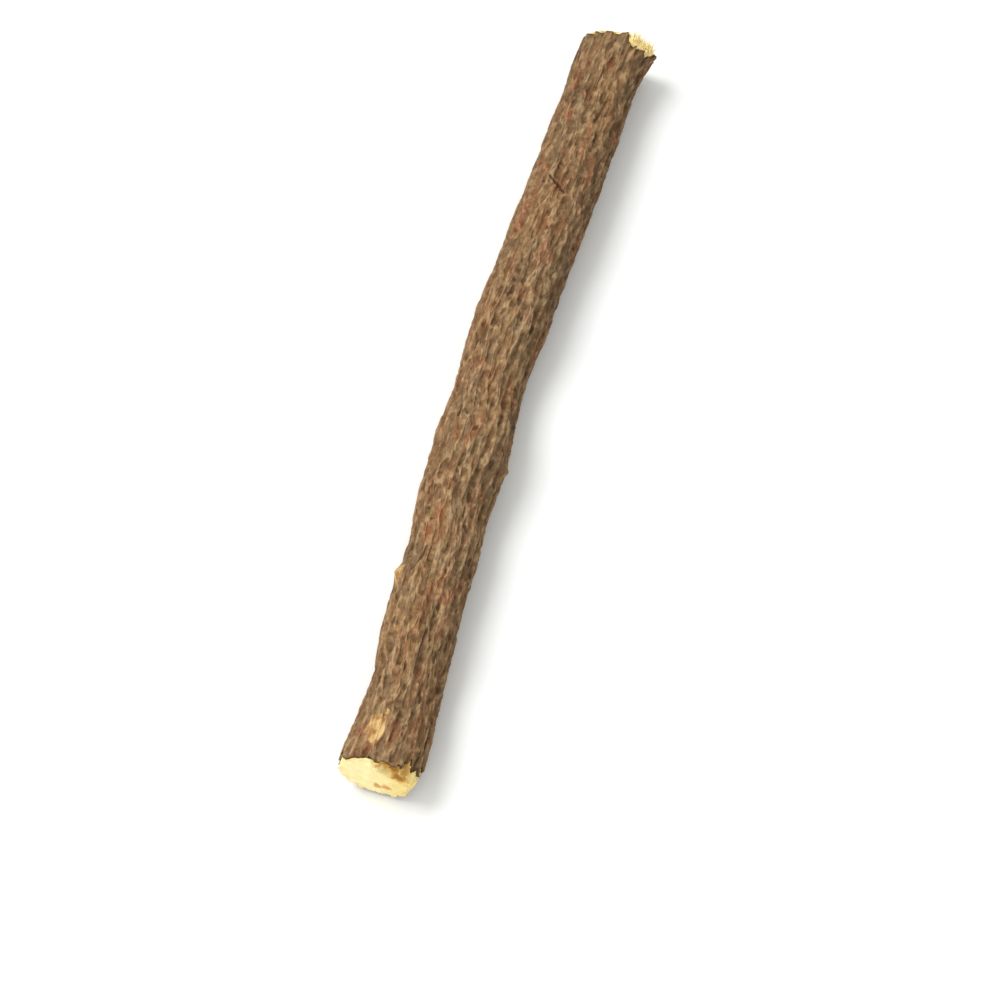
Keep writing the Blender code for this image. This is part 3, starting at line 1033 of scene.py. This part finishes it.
# %% The cut face
FACE_STEPS = 48
MIDDLE_SHARE = 0.015
RAY_COUNT = 46
RAY_RISE = 0.00008
RAY_WAVER = 5
RAY_WAVER_SIZE = (1.0, 0.003)
RAY_DRAW = 4.4
FACE_SPLINTER = 0.00010
SPLINTER_SIZE = 0.00045
LEDGE_EDGE = 0.05
LEDGE_RAGGED = 0.06
LEDGE_TOOTH = (1.0, 0.0011)


def sunk_ledge(turns, share, cut):
    """How far the ledges take the face back: each starts at a ragged step, at its own share."""
    ragged = LEDGE_RAGGED * bark_noise(np.zeros_like(turns), turns, LEDGE_TOOTH, cut.wood_draw)
    sunk = np.zeros_like(turns)
    for *ledge, start in cut.ledges:
        step = np.clip((share - start - ragged) / LEDGE_EDGE, 0, 1)
        sunk = sunk + broken_back(turns, *ledge) * step
    return sunk


def face_ring(outer, middle, turns, share, cut):
    """One ring of the cut face: its plane, its rough grain, its rays and its ledges."""
    ring = middle + (outer - middle) * share
    waver = RAY_WAVER * bark_noise(np.zeros_like(turns), turns, RAY_WAVER_SIZE, RAY_DRAW)
    rays = RAY_RISE * share * np.cos(RAY_COUNT * turns + waver)
    splinter = FACE_SPLINTER * noise_at(ring / SPLINTER_SIZE + cut.wood_draw)
    sunk = sunk_ledge(turns, share, cut)
    ring[:, 0] = rough_cut(cut, ring) + cut.outward * (rays + splinter - sunk)
    return ring


print("rays on a cut face:", RAY_COUNT, "- rings that shape it:", FACE_STEPS)

# %% Spots of resin, and painted shade on the ledges
RESIN_SPOTS = [(0.52, -3.11, 0.13), (0.50, -2.62, 0.14), (0.60, -0.36, 0.07)]
# Painted shade on the near face's sunk ledges, under the bark's rim.
LEDGE_SHADE_SPOTS = [(0.84, -0.92, 0.24), (0.84, -0.60, 0.27), (0.90, -0.25, 0.25)]
WHEEL = 4


def face_spot(share, turn, place, middle, half):
    """How strongly each point lies in a round spot of the face, whose middle is at a share and a turn."""
    beside = share * np.sin(turn) - place * math.sin(middle)
    above = share * np.cos(turn) - place * math.cos(middle)
    return np.exp(-(beside**2 + above**2) / half**2)


def mark_wood(mesh, cut, share, turn, torn):
    """Keeps on the mesh what the wood's finish and its fibres read."""
    store(mesh, "share", share)
    store(mesh, "wheel", np.stack([share, WHEEL * np.sin(turn), WHEEL * np.cos(turn)], -1))
    store(mesh, "torn", MM_PER_M * torn)
    for mark, places in (("resin", RESIN_SPOTS), ("ledge_shade", LEDGE_SHADE_SPOTS)):
        on_face = np.max([face_spot(share, turn, *place) for place in places], axis=0)
        store(mesh, mark, on_face * (cut is NEAR))


print("on the near face:", len(RESIN_SPOTS), "resin spots and", len(LEDGE_SHADE_SPOTS), "painted_ledge_shades")

# %% Build the wood at both ends
WOOD_ROUND = 288
WOOD_DEPTH = 0.0075
WALL_STEPS = 34
WALL_CROWDING = 1.6
FIBRE_RISE = 0.00016
FIBRE_SIZE = (0.0035, 0.00032)
TUCK_LENGTH = 0.0006
TUCK_DEPTH = 0.0010


def wall_rings(outer, edge_x, rim_back, turns, cut):
    """Rings of the plug's side, from deep inside the bark out to the cut, tucked under the bark."""
    rings = []
    for behind in np.linspace(1.0, 0.0, WALL_STEPS + 1)[:-1] ** WALL_CROWDING * WOOD_DEPTH:
        x = outer[:, 0] - cut.outward * behind
        fibre = FIBRE_RISE * bark_noise(x, turns, FIBRE_SIZE, cut.wood_draw)
        tucked = np.clip((np.abs(edge_x - x) - rim_back) / TUCK_LENGTH, 0, 1) * TUCK_DEPTH
        rings.append(wood_point(x, turns, inset=np.abs(fibre) + tucked))
    return rings


def build_wood(name, cut):
    """The plug of wood at one end as a closed mesh, with the numbers that its finish reads."""
    turns = np.arange(WOOD_ROUND) * 2 * math.pi / WOOD_ROUND
    at_cut = np.full(WOOD_ROUND, cut.x)
    side, height = axis(at_cut)
    middle = np.array([cut.x, side[0], height[0]])
    outer = face_ring(wood_point(at_cut, turns), middle, turns, 1.0, cut)
    outer[:, 0] -= cut.outward * RIM_ROUNDING
    edge_x = rough_cut(cut, wood_point(at_cut, turns))
    rim_back = rim_set_back(turns, cut)
    rings = wall_rings(outer, edge_x, rim_back, turns, cut)
    shares = [1.0] * len(rings)
    for share in np.linspace(1.0, MIDDLE_SHARE, FACE_STEPS):
        rings.append(face_ring(outer, middle, turns, share, cut) if share < 1 else outer)
        shares.append(share)
    inside = rings[0].mean(axis=0)
    face_middle = rings[-1].mean(axis=0)
    mesh = mesh_from_rings(name, rings, inside, face_middle)

    share = np.append(np.repeat(shares, WOOD_ROUND), [1.0, 0.0])
    turn = np.append(np.tile(turns, len(rings)), [0.0, 0.0])
    x = np.append(np.concatenate([ring[:, 0] for ring in rings]), [inside[0], face_middle[0]])
    torn = chipped_back(turn, cut) * (share >= cut.torn_from)
    back = np.append(np.tile(np.abs(edge_x) - rim_back, len(rings)), [1.0, 1.0])
    mark_wood(mesh, cut, share, turn, torn * (np.abs(x) > back))
    return bpy.data.objects.new(name, mesh)


near_wood_base = build_wood("near_wood", NEAR)
far_wood_base = build_wood("far_wood", FAR)
for plug in (near_wood_base, far_wood_base):
    print(plug.name, "points:", len(plug.data.vertices))

# %% [markdown]
# ## Torn fibres
#
# Where the bark broke away, wood fibres stand out of the tear as short pale strands. Each could be
# placed by hand, but they repeat over a patch of the surface, so Geometry Nodes scatter them: one
# tapering strand is placed on random points of the torn patch, turned roughly along the stick,
# made longer or shorter, bent a little, and joined to the wood as plain mesh.

# %% One strand, and how the strands are set
STRAND_ROOT = -0.12
STRAND_POINTS = 7
STRAND_SIDES = 5
STRAND_TAPER = (0.35, 1.0, 1.0, 0.12)
STRAND_TILT = 0.30
STRAND_LIFT = 0.16
STRAND_SIZES = (0.35, 1.0)
CURL_NOISE = Pattern(along=500.0, across=500.0, detail=2.0, draw=5.0)
CURL = (0.0, 0.0007, 0.0007)
STRAND_PALE = 0.85
FIBRE_INPUTS = {"Strands per area": "Float", "Strand length": "Float", "Strand radius": "Float",
                "Outward": "Float", "Seed": "Int", "Material": "Material"}


def one_strand(tree, given):
    """A thin tube along its own Z, rooted a little below the surface and tapering to its tip."""
    root = sums(tree, "MULTIPLY", given["Strand length"], STRAND_ROOT)
    start = add(tree, "ShaderNodeCombineXYZ", {2: root})
    end = add(tree, "ShaderNodeCombineXYZ", {2: given["Strand length"]})
    line = {"Start": start.outputs[0], "End": end.outputs[0]}
    line = add(tree, "GeometryNodeCurvePrimitiveLine", line).outputs[0]
    line = {"Curve": line, "Count": STRAND_POINTS}
    line = add(tree, "GeometryNodeResampleCurve", line).outputs[0]
    along = add(tree, "GeometryNodeSplineParameter").outputs["Factor"]
    thick = sums(tree, "MULTIPLY", ramp(tree, along, *STRAND_TAPER), given["Strand radius"])
    profile = {"Resolution": STRAND_SIDES, "Radius": 1.0}
    profile = add(tree, "GeometryNodeCurvePrimitiveCircle", profile).outputs[0]
    tube = {"Curve": line, "Profile Curve": profile, "Scale": thick, "Fill Caps": True}
    return add(tree, "GeometryNodeCurveToMesh", tube).outputs[0]


def set_strands(tree, given, strand):
    """Strands on random points of the torn patch, each with its own direction and length."""
    torn = add(tree, "GeometryNodeInputNamedAttribute", {0: "torn"}, data_type="FLOAT")
    density = sums(tree, "MULTIPLY", torn.outputs[0], given["Strands per area"])
    spread = {"Mesh": given["Geometry"], "Density": density, "Seed": given["Seed"]}
    points = add(tree, "GeometryNodeDistributePointsOnFaces", spread, distribute_method="RANDOM")
    tilt = {0: (-STRAND_TILT,) * 3, 1: (STRAND_TILT,) * 3, "Seed": given["Seed"]}
    tilt = add(tree, "FunctionNodeRandomValue", tilt, data_type="FLOAT_VECTOR").outputs[0]
    lift = scaled(tree, points.outputs["Normal"], STRAND_LIFT)
    ahead = add(tree, "ShaderNodeCombineXYZ", {0: given["Outward"]}).outputs[0]
    heading = vectors(tree, "ADD", vectors(tree, "ADD", ahead, tilt), lift)
    turned = add(tree, "FunctionNodeAlignRotationToVector", {"Vector": heading}, axis="Z")
    longer = {2: STRAND_SIZES[0], 3: STRAND_SIZES[1], "Seed": given["Seed"]}
    longer = add(tree, "FunctionNodeRandomValue", longer, data_type="FLOAT").outputs[1]
    size = add(tree, "ShaderNodeCombineXYZ", {0: 1.0, 1: 1.0, 2: longer}).outputs[0]
    placed = {"Points": points.outputs["Points"], "Instance": strand,
              "Rotation": turned.outputs[0], "Scale": size}
    placed = add(tree, "GeometryNodeInstanceOnPoints", placed).outputs[0]
    return add(tree, "GeometryNodeRealizeInstances", {0: placed}).outputs[0]


print("longest strand over shortest:", round(STRAND_SIZES[1] / STRAND_SIZES[0], 1))


# %% The fibres' tree
def fibre_tree():
    tree, given = new_tree("torn fibres", FIBRE_INPUTS)
    strands = set_strands(tree, given, one_strand(tree, given))
    position = add(tree, "GeometryNodeInputPosition").outputs[0]
    curl = cloud(tree, position, CURL_NOISE).outputs[1]
    curl = vectors(tree, "MULTIPLY", vectors(tree, "SUBTRACT", curl, (0.5, 0.5, 0.5)), CURL)
    strands = add(tree, "GeometryNodeSetPosition", {0: strands, "Offset": curl}).outputs[0]
    kept = {0: strands, 2: "strand", 3: STRAND_PALE}
    strands = add(tree, "GeometryNodeStoreNamedAttribute", kept, data_type="FLOAT").outputs[0]
    both = add(tree, "GeometryNodeJoinGeometry")
    tree.links.new(strands, both.inputs[0])
    tree.links.new(given["Geometry"], both.inputs[0])
    close_tree(tree, both.outputs[0], given["Material"])
    return tree


fibres = fibre_tree()
print("nodes that set the fibres:", len(fibres.nodes))

# %% [markdown]
# ## The wood's finish
#
# Fresh-cut licorice wood is bright cream in the middle and a deeper straw yellow towards the
# bark, with faint rays and a few orange-brown spots of resin. The near face's sunk ledges are
# painted ochre and brown as painted shade, and the wood turns straw yellow towards its -Y side as
# painted shade. A single cream would look like wax, so each of these is a layer that is blended over
# the one before it. Sawn fibre scatters light, so the wood has hardly any gloss.

# %% Colours and strengths of the wood's layers
CREAM = tint(246, 232, 178)
STRAW = tint(236, 212, 140)
OCHRE = tint(200, 164, 96)
SHADED_LEDGE_OCHRE = tint(214, 168, 90)
SHADED_LEDGE_BROWN = tint(146, 104, 44)
RESIN = tint(202, 142, 62)
STRAND_CREAM = tint(246, 226, 166)
RAY_NOISE = Pattern(along=1.2, across=3.4, detail=3.0, draw=1.0)
WOOD_GRAIN_NOISE = Pattern(along=350.0, across=2600.0, detail=3.0, draw=7.0)
WOOD_PATCH_NOISE = Pattern(along=260.0, across=260.0, detail=3.0, draw=3.0)
WOOD_FINE_NOISE = Pattern(along=900.0, across=900.0, detail=3.0, draw=9.0)
RIGHT_SIDE_SHADE_BY_PATCH = 0.006
RIM_BY_PATCH = 0.30
LEDGE_SHADE_BY_FINE = 0.7
RESIN_BY_FINE = 0.9
RIGHT_SIDE_SHADE_EDGE = (-0.0062, 0.0010, 0.95, 0.0)
RAY_EDGE = (0.40, 0.66, 0.0, 0.40)
RIM_STRAW_EDGE = (0.80, 1.02, 0.0, 0.55)
RIM_OCHRE_EDGE = (0.95, 1.08, 0.0, 0.40)
GRAIN_EDGE = (0.55, 0.72, 0.0, 0.30)
LEDGE_SHADE_OCHRE_EDGE = (0.10, 0.50, 0.0, 0.90)
LEDGE_SHADE_BROWN_EDGE = (0.38, 0.86, 0.0, 0.95)
RESIN_EDGE = (0.15, 0.75, 0.0, 0.85)
WOOD_ROUGHNESS = (0.3, 0.7, 0.78, 0.95)
WOOD_GLOSS = 0.25
WOOD_BUMP = {"Strength": 0.6, "Distance": 0.00012}


# %% The wood's material
def wood_finish():
    material, tree, shader = new_finish("licorice wood")
    place = add(tree, "ShaderNodeTexCoord").outputs["Object"]
    rays = cloud(tree, kept_vector(tree, "wheel"), RAY_NOISE).outputs[0]
    grain = cloud(tree, place, WOOD_GRAIN_NOISE).outputs[0]
    patch = cloud(tree, place, WOOD_PATCH_NOISE).outputs[0]
    fine = cloud(tree, place, WOOD_FINE_NOISE).outputs[0]
    # Painted shade: the wood turns straw yellow towards its -Y side.
    side = add(tree, "ShaderNodeSeparateXYZ", {0: place}).outputs[1]
    side = sums(tree, "ADD", side, scaled_off(tree, patch, RIGHT_SIDE_SHADE_BY_PATCH))
    rim = sums(tree, "ADD", kept_number(tree, "share"), scaled_off(tree, patch, RIM_BY_PATCH))
    # Painted shade: the sunk ledges turn ochre and brown.
    ledge_shade = sums(tree, "ADD", kept_number(tree, "ledge_shade"), scaled_off(tree, fine, LEDGE_SHADE_BY_FINE))
    dots = sums(tree, "ADD", kept_number(tree, "resin"), scaled_off(tree, fine, RESIN_BY_FINE))

    colour = CREAM
    layers = (
        (side, RIGHT_SIDE_SHADE_EDGE, STRAW),
        (rays, RAY_EDGE, STRAW),
        (rim, RIM_STRAW_EDGE, STRAW),
        (rim, RIM_OCHRE_EDGE, OCHRE),
        (grain, GRAIN_EDGE, OCHRE),
        (ledge_shade, LEDGE_SHADE_OCHRE_EDGE, SHADED_LEDGE_OCHRE),
        (ledge_shade, LEDGE_SHADE_BROWN_EDGE, SHADED_LEDGE_BROWN),
        (dots, RESIN_EDGE, RESIN),
    )
    for value, edge, tone in layers:
        colour = blend_colour(tree, ramp(tree, value, *edge), colour, tone)
    colour = blend_colour(tree, kept_number(tree, "strand"), colour, STRAND_CREAM)

    tree.links.new(colour, shader.inputs["Base Color"])
    tree.links.new(ramp(tree, grain, *WOOD_ROUGHNESS), shader.inputs["Roughness"])
    shader.inputs["Specular IOR Level"].default_value = WOOD_GLOSS
    bump = add(tree, "ShaderNodeBump", {**WOOD_BUMP, "Height": grain})
    tree.links.new(bump.outputs[0], shader.inputs["Normal"])
    return material


# %% Dress the wood
NEAR_STRANDS = {"strands_per_area": 0.2e6, "strand_length": 0.0007, "strand_radius": 0.00009,
                "outward": -1.0, "seed": 5}
FAR_STRANDS = {"strands_per_area": 2.8e6, "strand_length": 0.0024, "strand_radius": 0.00012,
               "outward": 1.0, "seed": 8}

pale_wood = wood_finish()
near_wood = run_tree(near_wood_base, fibres, material=pale_wood, **NEAR_STRANDS)
far_wood = run_tree(far_wood_base, fibres, material=pale_wood, **FAR_STRANDS)


# %% Trim strands that reach past the solid
def trim(obj):
    """Keeps every point of a piece inside the solid's box, as shears would trim a stray strand."""
    points = np.empty(len(obj.data.vertices) * 3)
    obj.data.vertices.foreach_get("co", points)
    points = points.reshape(-1, 3)
    inside = np.clip(points, np.array(node_low), np.array(node_high))
    obj.data.vertices.foreach_set("co", inside.ravel())
    obj.data.update()
    print(obj.name, "furthest trim, mm:", round(MM_PER_M * float(np.abs(inside - points).max()), 2))


trim(near_wood)
trim(far_wood)

# %% [markdown]
# ## Tie the pieces to the frame
#
# The real root is one body. The bark and the two ends of wood together stand for the packed
# solid, so they ride on its only body. They could be joined into one mesh, but as pieces they
# keep their own finishes.

# %% Ride and replace, and print each slot
for piece, slot in ((bark, "root_bark"), (near_wood, "root_wood"), (far_wood, "root_wood")):
    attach(piece, "root")
    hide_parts(NODE)
    print(piece.name, "stands for", NODE, "with slot", slot)

# %% [markdown]
# ## Floor and light
#
# A product picture on white needs a floor that is almost as bright as the background, and one
# broad soft light from the upper left, so that the only shadow is a soft grey one to the right.

# %% Floor
FLOOR_HALF = 3.0
FLOOR_GREY = 0.86
FLOOR_ROUGHNESS = 0.9
FLOOR_GLOSS = 0.1


def build_floor():
    corners = [(-FLOOR_HALF, -FLOOR_HALF, 0), (FLOOR_HALF, -FLOOR_HALF, 0),
               (FLOOR_HALF, FLOOR_HALF, 0), (-FLOOR_HALF, FLOOR_HALF, 0)]
    mesh = bpy.data.meshes.new("floor")
    mesh.from_pydata(corners, [], [(0, 1, 2, 3)])
    floor = bpy.data.objects.new("floor", mesh)
    bpy.context.scene.collection.objects.link(floor)
    material, _, shader = new_finish("white table")
    shader.inputs["Base Color"].default_value = (FLOOR_GREY, FLOOR_GREY, FLOOR_GREY, 1.0)
    shader.inputs["Roughness"].default_value = FLOOR_ROUGHNESS
    shader.inputs["Specular IOR Level"].default_value = FLOOR_GLOSS
    mesh.materials.append(material)
    floor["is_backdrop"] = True
    return floor


floor = build_floor()
print("the floor reaches", FLOOR_HALF, "m each way")

# %% Light
WORLD_LIGHT = 0.85
WORLD_TINT = (0.980, 1.0, 0.975)
KEY_PLACE = Vector((0.10, 0.62, 0.98))
KEY_SIZE = 0.70
KEY_WATTS = 9.4
FILL_PLACE = Vector((-0.75, 0.10, 0.30))
FILL_SIZE = 0.40
FILL_WATTS = 0.9


def soft_box(name, place, size, watts):
    """A round soft light that looks at the stick."""
    light = bpy.data.lights.new(name, "AREA")
    light.shape = "DISK"
    light.size = size
    light.energy = watts
    box = bpy.data.objects.new(name, light)
    box.location = place
    box.rotation_euler = place.to_track_quat("Z", "Y").to_euler()
    bpy.context.scene.collection.objects.link(box)


def build_light():
    world = bpy.data.worlds.new("studio")
    world.use_nodes = True
    background = world.node_tree.nodes["Background"]
    background.inputs["Color"].default_value = (*WORLD_TINT, 1.0)
    background.inputs["Strength"].default_value = WORLD_LIGHT
    bpy.context.scene.world = world
    soft_box("key", KEY_PLACE, KEY_SIZE, KEY_WATTS)
    soft_box("fill", FILL_PLACE, FILL_SIZE, FILL_WATTS)


build_light()
bpy.context.scene.view_settings.view_transform = "Standard"
print("key light:", KEY_WATTS, "W, fill light:", FILL_WATTS, "W")

# %% [markdown]
# ## Measure the size
#
# The finished pieces are meant to fill the same box as the solid. A ruler in the picture would
# show it only roughly, so both boxes are measured and printed.

# %% Print the sizes
seen_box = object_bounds()
boxes = {"cad": [list(corner) for corner in cad_box], "visual": [list(corner) for corner in seen_box]}
for name, (low, high) in boxes.items():
    print(name, "box, mm:", [round(MM_PER_M * (b - a), 2) for a, b in zip(low, high)])
